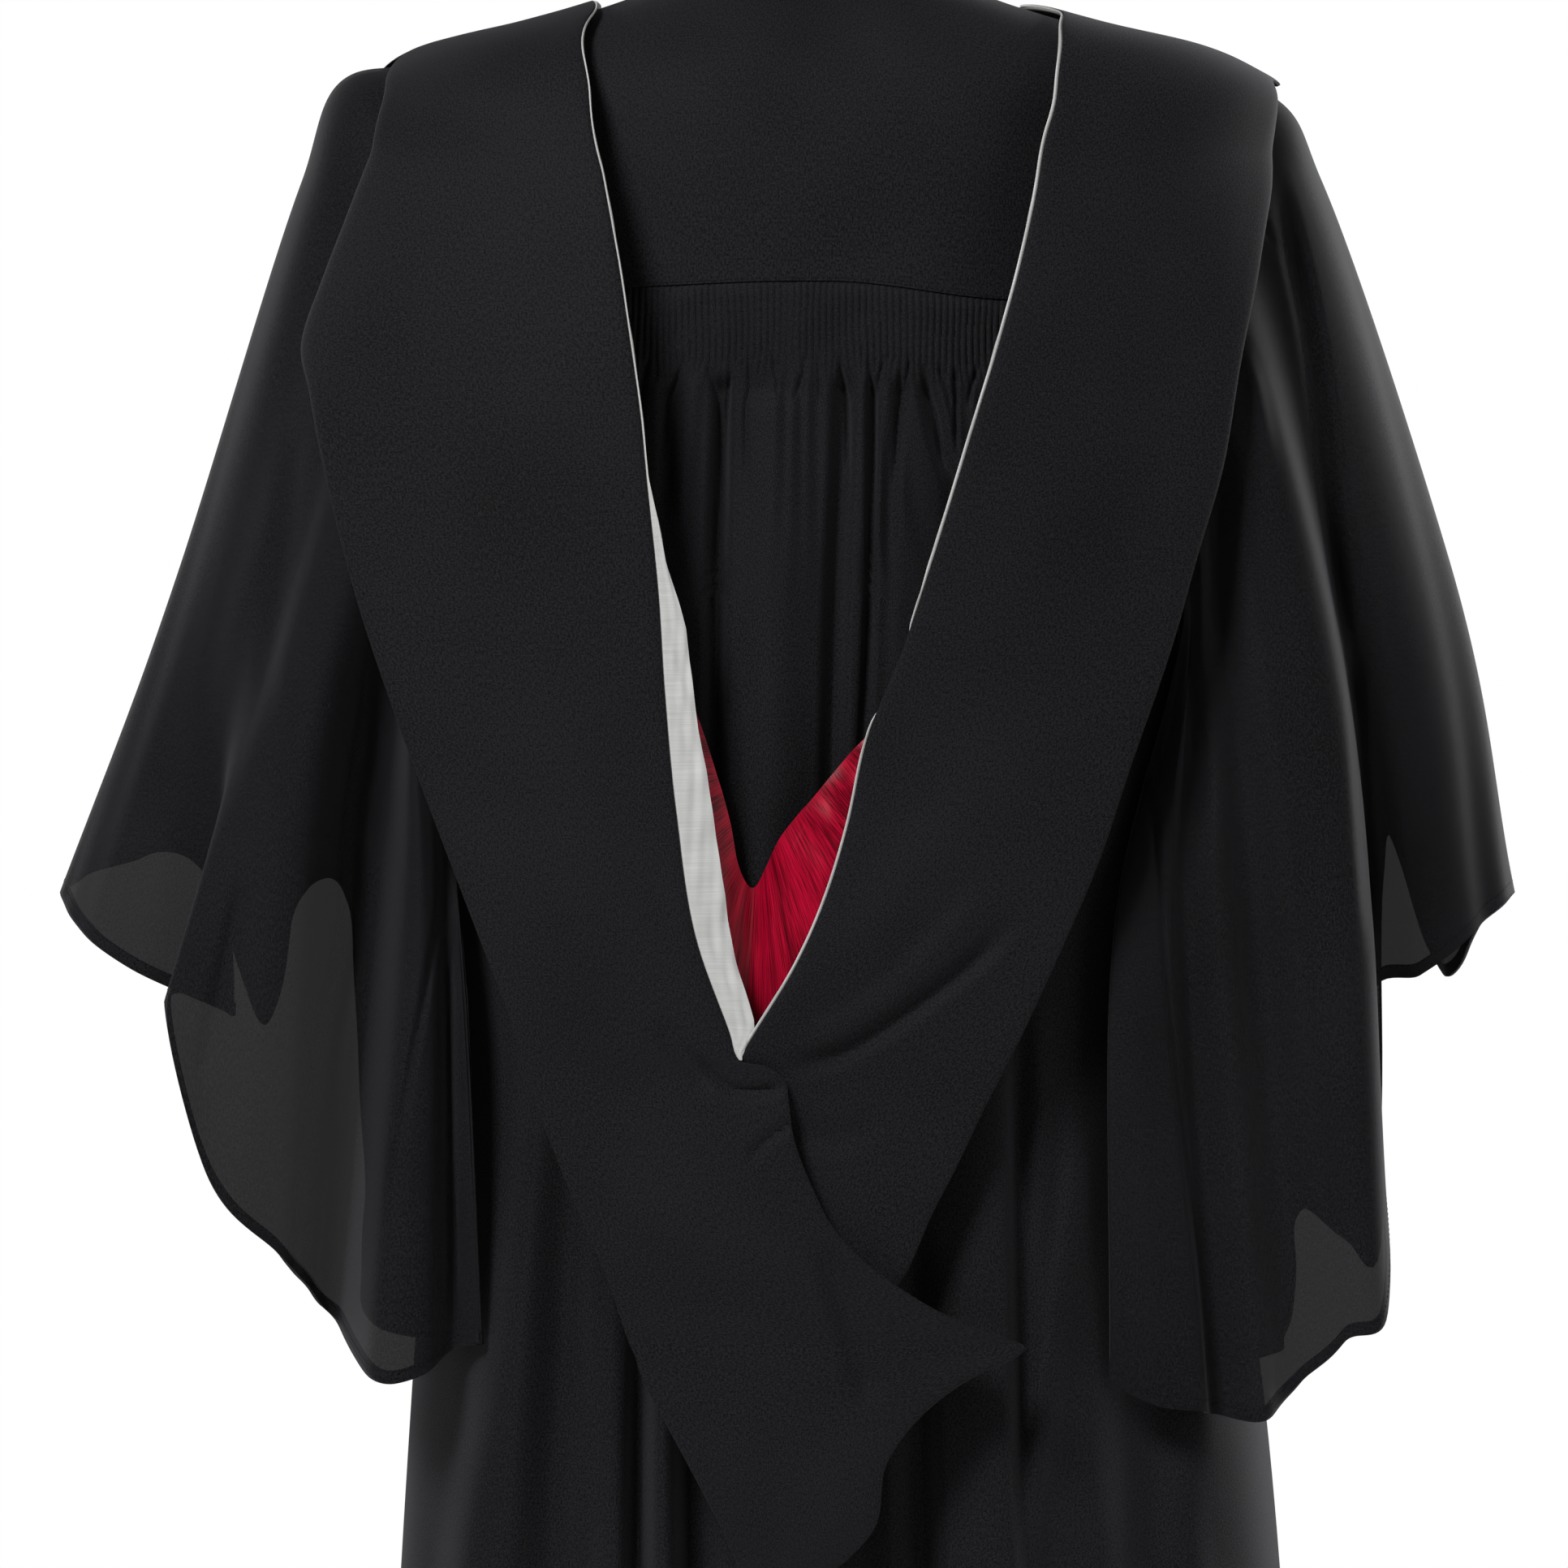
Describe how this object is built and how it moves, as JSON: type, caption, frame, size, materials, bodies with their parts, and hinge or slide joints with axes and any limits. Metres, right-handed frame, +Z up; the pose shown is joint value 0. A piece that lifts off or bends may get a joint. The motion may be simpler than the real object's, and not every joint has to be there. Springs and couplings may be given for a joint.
{
  "type": "graduation gown with hood",
  "caption": "Hollow worn graduation gown of thin cloth walls with a fluted back, wide open sleeves and a draped academic hood lined in satin.",
  "frame": {"origin": "on the shoulder line, midway between the shoulders, where the wearer carries the gown", "axes": "+Z up, +Y the way the wearer faces, +X the wearer's right; the fluted back and the hood face -Y"},
  "size_m": [0.771, 0.3466, 1.1581],
  "materials": {
    "gown_crepe": "matt black crepe, slightly sheer in one layer",
    "hood_crepe": "matt black crepe",
    "lining_satin": "glossy crimson satin",
    "ribbon_satin": "white satin ribbon"
  },
  "bodies": {
    "root": {"yoke": "gown_crepe", "fluted_band": "gown_crepe", "back_panel": "gown_crepe", "front_left": "gown_crepe", "front_right": "gown_crepe", "sleeve_left": "gown_crepe", "sleeve_right": "gown_crepe", "hood_left": "hood_crepe", "hood_right": "hood_crepe", "hood_lining": "lining_satin", "ribbon_left": "ribbon_satin", "ribbon_right": "ribbon_satin"}
  },
  "joints": []
}
